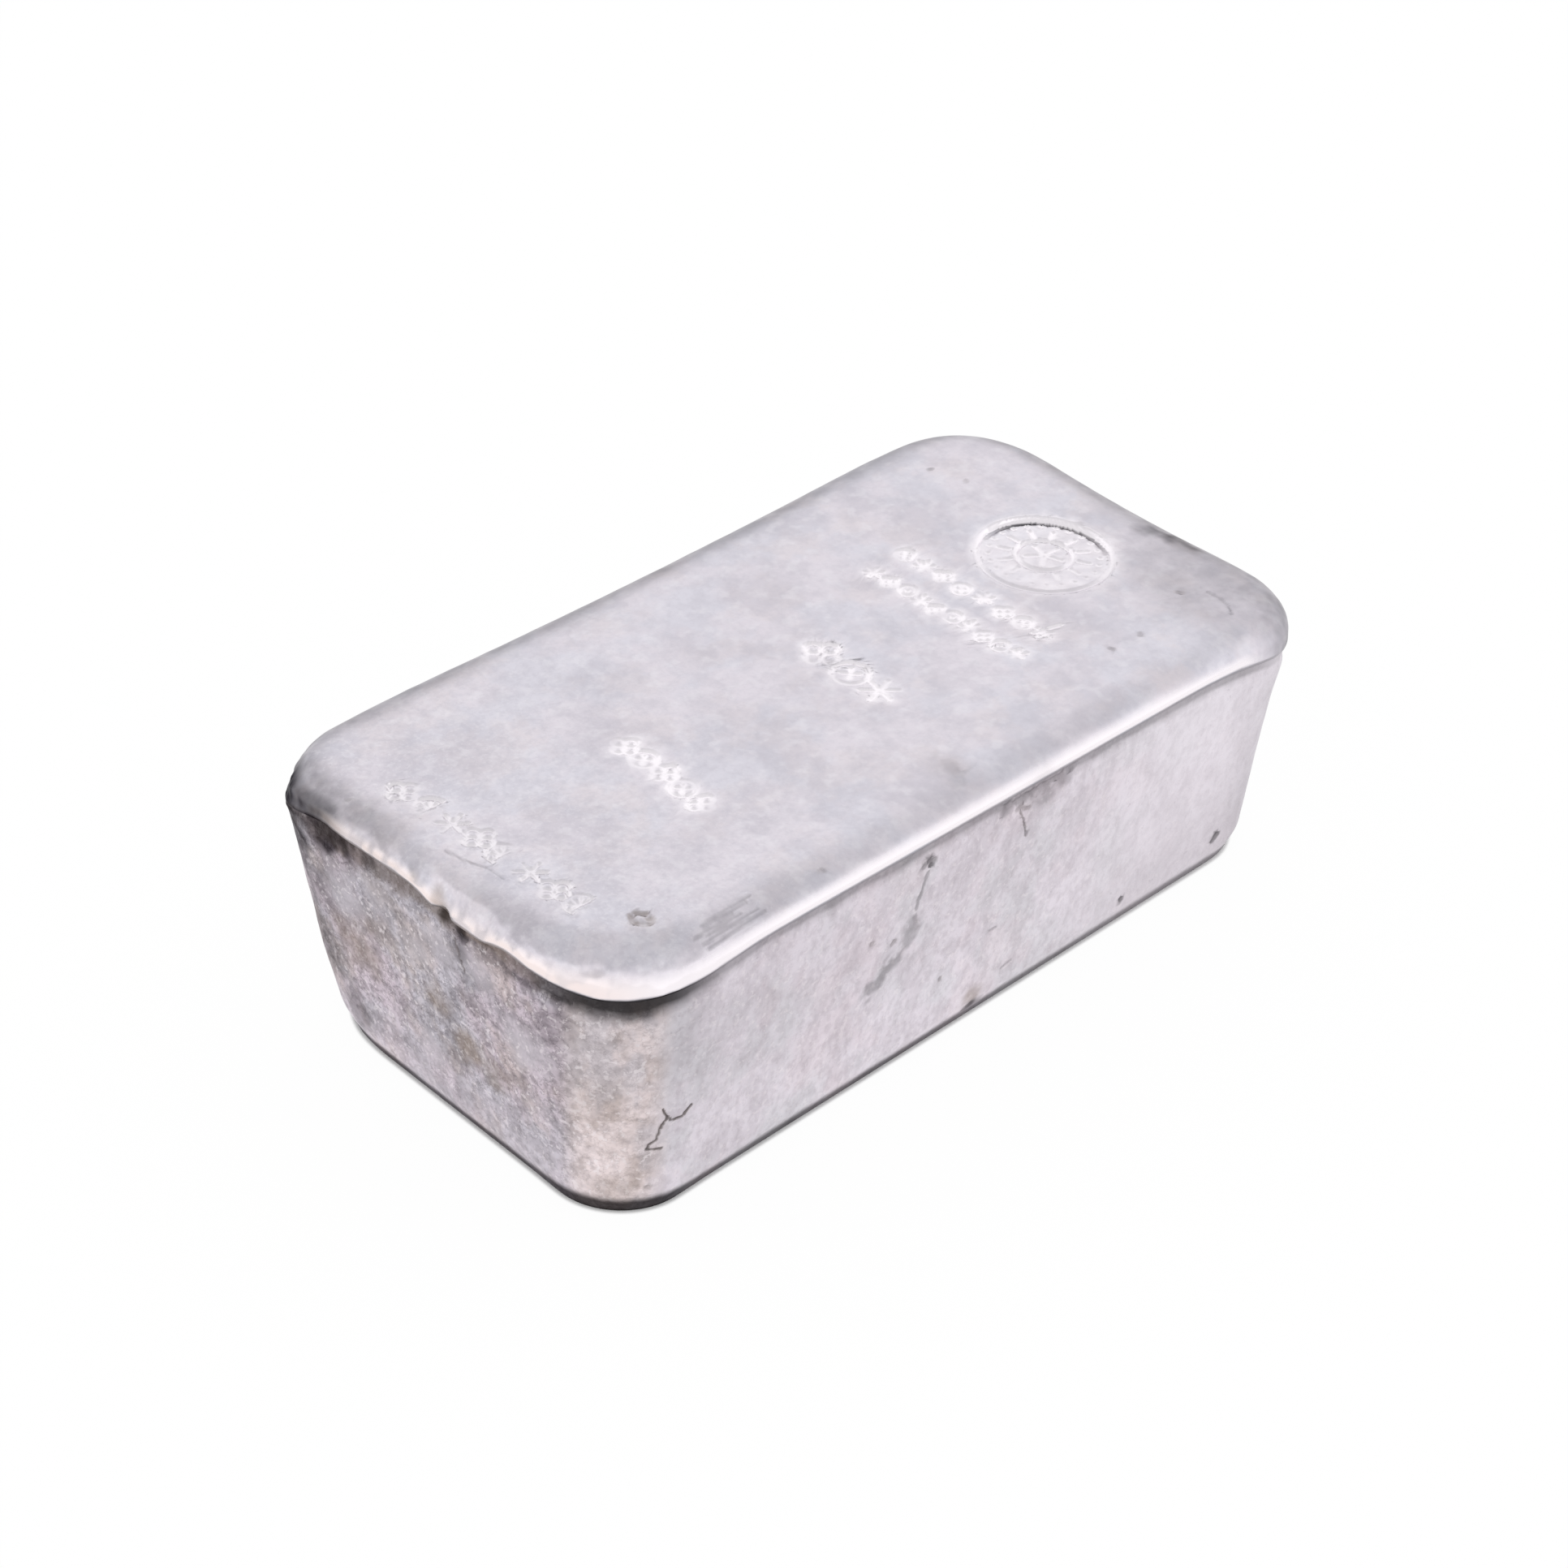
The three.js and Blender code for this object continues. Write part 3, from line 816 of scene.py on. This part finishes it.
def makeBar():
    faceMarks = treeOf(faceStrokes())
    wallMarks = treeOf(plainStrokes(wallMarkList))
    bm = smoothed(barCopy(), barSkin["smoothLevels"])
    capBase(bm)
    splitRings(bm, *barSkin["wallRings"])
    for _ in range(2):
        splitRings(bm, *barSkin["footRings"], way="across")
    splitRings(bm, *barSkin["lipRings"], way="along")
    splitRings(bm, *barSkin["rollRings"], way="along", reach=barSkin["rollReach"])
    splitNear(bm, faceMarks[0], flat=True, **barSkin["faceSplit"])
    splitNear(bm, wallMarks[0], flat=False, **barSkin["wallSplit"])
    print("bar refined:", sum(len(face.verts) - 2 for face in bm.faces), "triangles")
    sculptBar(bm, faceMarks, wallMarks)
    mesh = bpy.data.meshes.new("castBar")
    bm.to_mesh(mesh)
    bm.free()
    mesh.polygons.foreach_set("use_smooth", [True] * len(mesh.polygons))
    bar = bpy.data.objects.new("castBar", mesh)
    bpy.context.collection.objects.link(bar)
    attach(bar, "root")
    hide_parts("ingot")
    return bar


# Fine silver poured into an open iron mould and left as cast. The face froze against the air: the eye
# gets a satin sheen with faint lavender clouds, and a bright line along the rim, partly worn by
# handling and partly a painted highlight. The walls froze against the mould: a duller, pinkish grey of
# fine crystals, coarse, stained and darker at the near end. Sulphide tarnish fills the hollows and
# reads as dark grey lines; the same dark colour also paints the shade under the lip, the contact shadow
# along the foot and the darker reflections on the far rims.
silverLook = {
    "face": "#e0dae2",
    "faceCool": "#d8d7e1",
    "faceWarm": "#e0d8dd",
    "faceCloud": "#bdb9c3",
    "faceBloom": "#ebe8ee",
    "wall": "#ebe4ec",
    "coolWall": "#e2dfe5",
    "warmWall": "#ecdfe6",
    "farWall": "#f2ecf3",
    "wallGrain": "#a59ba2",
    "endWall": "#d9ccd6",
    "coolEnd": "#cfccd5",
    "warmEnd": "#cdbcb4",
    "corner": "#f4e7e8",
    "crystal": "#f6eff2",
    "seam": "#5f575d",
    # the rim colours paint the bright line along the rim: partly worn metal, partly a painted highlight
    "rim": "#fbf5f9",
    "endRim": "#faecea",
    "brown": "#93806f",
    "coolPatch": "#cdc7ce",
    # struck bright: partly burnished metal, partly a painted highlight
    "struck": "#fef9fe",
    # the dark colour of tarnish, also used for the painted shade and shadows
    "tarnishAndShade": "#1d1b1d",
}

# how rough the metal is, and how deep its grain is in millimetres
silverFinish = {
    "faceRoughness": 0.30,
    "wallRoughness": 0.50,
    "rimRoughness": 0.20,
    "struckRoughness": 0.28,
    "faceBump": 0.002,
    "wallBump": 0.03,
    "bumpStrength": 0.8,
}

# noise patterns over the metal: size in millimetres, how much they are drawn out down the wall,
# detail, roughness, then the values where the pattern starts and is full; crystals are really finer
# than 0.3 mm and are drawn coarser to be seen
silverPatterns = {
    "cloud": (7.0, 1.0, 5.0, 0.60, 0.42, 0.66),
    "mottle": (2.2, 1.0, 5.0, 0.65, 0.42, 0.66),
    "bloom": (1.5, 1.0, 2.0, 0.50, 0.50, 0.70),
    "cool": (8.0, 1.2, 4.0, 0.60, 0.44, 0.60),
    "warm": (6.0, 1.2, 4.0, 0.60, 0.48, 0.64),
    "fine": (0.40, 1.0, 2.0, 0.60, 0.50, 0.68),
    "grain": (0.60, 1.35, 3.0, 0.60, 0.42, 0.68),
    "coarse": (1.6, 1.5, 3.0, 0.60, 0.44, 0.64),
    "broad": (3.5, 1.6, 3.0, 0.60, 0.44, 0.64),
    "crystal": (0.55, 1.0, 3.0, 0.55, 0.56, 0.66),
    "pitted": (0.65, 1.0, 3.0, 0.60, 0.42, 0.68),
    "curdled": (1.7, 1.0, 3.0, 0.60, 0.44, 0.64),
    "blotched": (4.0, 1.0, 3.0, 0.60, 0.46, 0.60),
    "fleck": (0.75, 1.0, 3.0, 0.60, 0.66, 0.72),
}

# thin winding seams between crystals lie where a noise crosses its middle value
crystalSeams = {"size": 1.1, "detail": 4.0, "roughness": 0.6, "middle": 0.5, "width": 0.018}

# fades along the bar and up the wall: axis, and the millimetres where each is nothing and full
silverFades = {
    "far": ("X", 3, 28, "SMOOTHSTEP"),
    "near": ("X", 0, -38, "LINEAR"),
    "low": ("Z", 16, 3, "SMOOTHSTEP"),
    "high": ("Z", 8, 13, "SMOOTHSTEP"),
}

# layers from the bare metal upwards: colour, strength, and the patterns it shows through
silverLayers = [
    ("faceCool", 0.65, "cool"),
    ("faceWarm", 0.65, "warm"),
    ("faceCloud", 0.36, "cloud"),
    ("faceCloud", 0.30, "mottle"),
    ("faceBloom", 0.34, "bloom"),
    ("faceCloud", 0.14, "grain"),
    ("faceCloud", 0.16, "near grain"),
    ("faceBloom", 0.30, "near fine"),
    ("wall", 1.0, "wall"),
    ("coolWall", 0.80, "wall cool"),
    ("warmWall", 0.45, "wall warm"),
    ("farWall", 0.80, "wall far"),
    # the grain colour also darkens the wall low at the far end and towards its top; on the grain
    # pattern it darkens the same spots that the bump sinks, partly fine tarnish and partly painted
    # shade in those pits
    ("wallGrain", 0.30, "wall far low"),
    ("wallGrain", 0.20, "wall grain plain"),
    ("wallGrain", 0.18, "wall coarse plain"),
    ("wallGrain", 0.19, "wall broad plain"),
    ("wallGrain", 0.11, "wall high plain"),
    ("crystal", 0.30, "wall crystal plain"),
    ("endWall", 1.0, "wall end"),
    ("coolEnd", 0.80, "wall end cool"),
    ("warmEnd", 0.50, "wall end warm"),
    ("corner", 1.0, "wall corner"),
    ("warmEnd", 0.40, "wall corner blotched"),
    ("coolEnd", 0.50, "wall corner broad"),
    ("seam", 0.36, "wall end pitted"),
    ("seam", 0.36, "wall end curdled"),
    ("seam", 0.30, "wall end blotched"),
    ("seam", 0.36, "wall end seam"),
    ("seam", 0.20, "wall corner pitted"),
    ("seam", 0.20, "wall corner curdled"),
    ("seam", 0.14, "wall corner seam"),
    ("seam", 0.14, "wall corner blotched"),
    ("coolPatch", 0.80, "wall patch"),
    ("crystal", 0.45, "wall end crystal"),
    ("crystal", 0.55, "wall corner crystal"),
    ("seam", 0.12, "wall fleck"),
    # the rim's bright line: partly wear, partly a painted highlight
    ("rim", 1.0, "rim"),
    ("endRim", 1.0, "rim end"),
    # struck marks and the seal: partly burnish, partly a painted highlight
    ("struck", 1.0, "struck"),
    ("brown", 1.0, "brown"),
    # tarnish, and the painted shade and shadows
    ("tarnishAndShade", 1.0, "dark"),
]


# how strongly each zone, stain, fade and pattern shows at a point of the metal
def silverShares(tree):
    place = addNode(tree, "ShaderNodeTexCoord").outputs["Object"]
    zones = addNode(tree, "ShaderNodeAttribute", {"attribute_name": "zones"})
    patinaAndPaintedLight = addNode(tree, "ShaderNodeAttribute", {"attribute_name": "patinaAndPaintedLight"})
    zone = addNode(tree, "ShaderNodeSeparateColor", links={"Color": zones.outputs["Color"]}).outputs
    stain = addNode(tree, "ShaderNodeSeparateColor", links={"Color": patinaAndPaintedLight.outputs["Color"]}).outputs
    position = addNode(tree, "ShaderNodeSeparateXYZ", links={"Vector": place}).outputs
    # rim carries the worn line and its painted highlight, dark the tarnish and painted shade, struck
    # the burnish and painted highlight
    share = {
        "wall": zone["Red"], "end": zone["Green"], "rim": zone["Blue"],
        "corner": zones.outputs["Alpha"],
        "dark": stain["Red"], "brown": stain["Green"], "patch": stain["Blue"],
        "struck": patinaAndPaintedLight.outputs["Alpha"],
    }
    for name, (axis, start, full, easing) in silverFades.items():
        share[name] = addNode(
            tree, "ShaderNodeMapRange", {"interpolation_type": easing},
            {"From Min": start * mm, "From Max": full * mm}, {"Value": position[axis]},
        ).outputs["Result"]
    share["plain"] = addNode(
        tree, "ShaderNodeMapRange", {}, {"To Min": 1.0, "To Max": 0.5}, {"Value": share["far"]},
    ).outputs["Result"]
    for name, (size, drawn, detail, roughness, start, full) in silverPatterns.items():
        pull = addNode(
            tree, "ShaderNodeVectorMath", {"operation": "MULTIPLY"},
            {1: (1.0, 1.0, 1 / drawn)}, {0: place},
        )
        pattern = addNode(
            tree, "ShaderNodeTexNoise",
            values={"Scale": 1 / (size * mm), "Detail": detail, "Roughness": roughness},
            links={"Vector": pull.outputs[0]},
        )
        share[name] = addNode(
            tree, "ShaderNodeMapRange", {"interpolation_type": "SMOOTHSTEP"},
            {"From Min": start, "From Max": full}, {"Value": pattern.outputs["Fac"]},
        ).outputs["Result"]
    veins = addNode(tree, "ShaderNodeTexNoise", values={
        "Scale": 1 / (crystalSeams["size"] * mm), "Detail": crystalSeams["detail"],
        "Roughness": crystalSeams["roughness"],
    }, links={"Vector": place})
    share["seam"] = addNode(
        tree, "ShaderNodeMath", {"operation": "COMPARE"},
        {1: crystalSeams["middle"], 2: crystalSeams["width"]}, {0: veins.outputs["Fac"]},
    ).outputs[0]
    return share


def castSilver():
    material = bpy.data.materials.new("castSilver")
    tree = emptyTree(material)
    share = silverShares(tree)
    colour = addNode(tree, "ShaderNodeRGB").outputs[0]
    colour.default_value = linearColour(silverLook["face"])
    for coat, strength, masks in silverLayers:
        first, *others = masks.split()
        mask = share[first]
        for name in others:
            mask = addNode(
                tree, "ShaderNodeMath", {"operation": "MULTIPLY"}, links={0: mask, 1: share[name]},
            ).outputs[0]
        if strength < 1:
            mask = addNode(
                tree, "ShaderNodeMath", {"operation": "MULTIPLY"}, {1: strength}, {0: mask},
            ).outputs[0]
        colour = addNode(
            tree, "ShaderNodeMix", {"data_type": "RGBA"},
            {7: linearColour(silverLook[coat])}, {0: mask, 6: colour},
        ).outputs[2]

    roughness = addNode(
        tree, "ShaderNodeMix", {"data_type": "FLOAT"},
        {"A": silverFinish["faceRoughness"], "B": silverFinish["wallRoughness"]},
        {"Factor": share["wall"]},
    )
    for name in ("rim", "struck"):    # worn and struck metal are smoother again
        roughness = addNode(
            tree, "ShaderNodeMix", {"data_type": "FLOAT"}, {"B": silverFinish[name + "Roughness"]},
            {"Factor": share[name], "A": roughness.outputs["Result"]},
        )
    bumpDepth = addNode(
        tree, "ShaderNodeMix", {"data_type": "FLOAT"},
        {"A": silverFinish["faceBump"] * mm, "B": silverFinish["wallBump"] * mm},
        {"Factor": share["wall"]},
    )
    bump = addNode(
        tree, "ShaderNodeBump", {"invert": True}, {"Strength": silverFinish["bumpStrength"]},
        {"Height": share["grain"], "Distance": bumpDepth.outputs["Result"]},
    )
    # bare silver mirrors whitely at a glancing look; the dark colour, tarnish and painted shade alike,
    # doesn't
    glance = addNode(
        tree, "ShaderNodeMix", {"data_type": "RGBA"},
        {6: (1.0, 1.0, 1.0, 1.0), 7: linearColour(silverLook["tarnishAndShade"])}, {0: share["dark"]},
    )
    shader = addNode(tree, "ShaderNodeBsdfPrincipled", values={"Metallic": 1.0}, links={
        "Base Color": colour, "Roughness": roughness.outputs["Result"],
        "Normal": bump.outputs["Normal"], "Specular Tint": glance.outputs[2],
    })
    addNode(tree, "ShaderNodeOutputMaterial", links={"Surface": shader.outputs["BSDF"]})
    return material


bar = makeBar()
bar.data.materials.append(castSilver())
print("bar made")

# The floor is matt white paper, which the eye takes as an even white ground with nothing on it but
# a thin contact shadow. The room is white too, with a dimmer ceiling that greys the poured face.
studio = {
    "floorSize": 4.0,          # metres
    "floorPaper": "#f4f4f4",
    "paperGlow": 0.96,         # share of plain white that the camera and reflections see in the floor
    "shadowReach": 0.5,        # millimetres round the bar where its shadow shows fully
    "shadowEdge": (0.45, 0.98),    # how open the floor is where its glow starts and is full
    "shadowSamples": 16,
    "horizon": 1.10,           # light of the room at eye height, as reflections see it
    "horizonBehind": 0.82,     # the same behind the bar
    "behindWay": (0.71, 0.71, 0.0),    # towards that side of the room
    "behind": (0.25, 0.75),    # how far that way it begins and is full
    "shoulder": 1.10,          # just under the ceiling's edge
    "ceiling": 0.77,
    "ceilingStart": (0.62, 0.74),   # sine of the elevation where the walls turn into the ceiling
    "plainLevel": 1.12,        # what lights the floor
}


def makeFloor():
    bm = bmesh.new()
    bmesh.ops.create_grid(bm, x_segments=1, y_segments=1, size=studio["floorSize"] / 2)
    mesh = bpy.data.meshes.new("studioFloor")
    bm.to_mesh(mesh)
    bm.free()
    floor = bpy.data.objects.new("studioFloor", mesh)
    bpy.context.collection.objects.link(floor)
    material = bpy.data.materials.new("paperFloor")
    tree = emptyTree(material)
    path = addNode(tree, "ShaderNodeLightPath")
    seen = addNode(
        tree, "ShaderNodeMath", {"operation": "MAXIMUM"},
        links={0: path.outputs["Is Camera Ray"], 1: path.outputs["Is Glossy Ray"]},
    )
    seen = addNode(
        tree, "ShaderNodeMath", {"operation": "MAXIMUM"},
        links={0: seen.outputs[0], 1: path.outputs["Is Transmission Ray"]},
    )
    # the glow gives way to the plain paper close under the bar, so its thin contact shadow stays
    openness = addNode(
        tree, "ShaderNodeAmbientOcclusion", {"samples": studio["shadowSamples"]},
        {"Distance": studio["shadowReach"] * mm},
    )
    start, full = studio["shadowEdge"]
    glow = addNode(
        tree, "ShaderNodeMapRange", {"interpolation_type": "SMOOTHSTEP"},
        {"From Min": start, "From Max": full, "To Max": studio["paperGlow"]},
        {"Value": openness.outputs["AO"]},
    )
    share = addNode(
        tree, "ShaderNodeMath", {"operation": "MULTIPLY"},
        links={0: glow.outputs["Result"], 1: seen.outputs[0]},
    )
    paper = addNode(tree, "ShaderNodeBsdfDiffuse", values={"Color": linearColour(studio["floorPaper"])})
    white = addNode(tree, "ShaderNodeEmission", values={"Color": (1, 1, 1, 1), "Strength": 1.0})
    mix = addNode(
        tree, "ShaderNodeMixShader",
        links={0: share.outputs[0], 1: paper.outputs[0], 2: white.outputs[0]},
    )
    addNode(tree, "ShaderNodeOutputMaterial", links={"Surface": mix.outputs[0]})
    mesh.materials.append(material)


def makeLight():
    scene = bpy.context.scene
    scene.view_settings.view_transform = "Standard"
    world = bpy.data.worlds.new("studioWorld")
    scene.world = world
    tree = emptyTree(world)
    way = addNode(tree, "ShaderNodeTexCoord").outputs["Generated"]
    height = addNode(tree, "ShaderNodeSeparateXYZ", links={"Vector": way}).outputs["Z"]
    facing = addNode(
        tree, "ShaderNodeVectorMath", {"operation": "DOT_PRODUCT"}, {1: studio["behindWay"]}, {0: way},
    )
    start, full = studio["behind"]
    horizon = addNode(tree, "ShaderNodeMapRange", {"interpolation_type": "SMOOTHSTEP"}, {
        "From Min": start, "From Max": full,
        "To Min": studio["horizon"], "To Max": studio["horizonBehind"],
    }, {"Value": facing.outputs["Value"]}).outputs["Result"]
    low, high = studio["ceilingStart"]
    walls = addNode(
        tree, "ShaderNodeMapRange", {},
        {"From Min": 0.0, "From Max": low, "To Max": studio["shoulder"]},
        {"Value": height, "To Min": horizon},
    ).outputs["Result"]
    ceiling = addNode(
        tree, "ShaderNodeMapRange", {"interpolation_type": "SMOOTHSTEP"},
        {"From Min": low, "From Max": high}, {"Value": height},
    ).outputs["Result"]
    level = addNode(
        tree, "ShaderNodeMix", {"data_type": "FLOAT"}, {"B": studio["ceiling"]},
        {"Factor": ceiling, "A": walls},
    ).outputs["Result"]
    path = addNode(tree, "ShaderNodeLightPath")
    level = addNode(
        tree, "ShaderNodeMix", {"data_type": "FLOAT"}, {"A": studio["plainLevel"]},
        {"Factor": path.outputs["Is Glossy Ray"], "B": level},
    ).outputs["Result"]
    room = addNode(tree, "ShaderNodeBackground", {}, {"Color": (1, 1, 1, 1)}, {"Strength": level})
    white = addNode(tree, "ShaderNodeBackground", {}, {"Color": (1, 1, 1, 1), "Strength": 1.0})
    mix = addNode(
        tree, "ShaderNodeMixShader",
        links={0: path.outputs["Is Camera Ray"], 1: room.outputs[0], 2: white.outputs[0]},
    )
    addNode(tree, "ShaderNodeOutputWorld", links={"Surface": mix.outputs[0]})


makeFloor()
makeLight()
print("studio set")
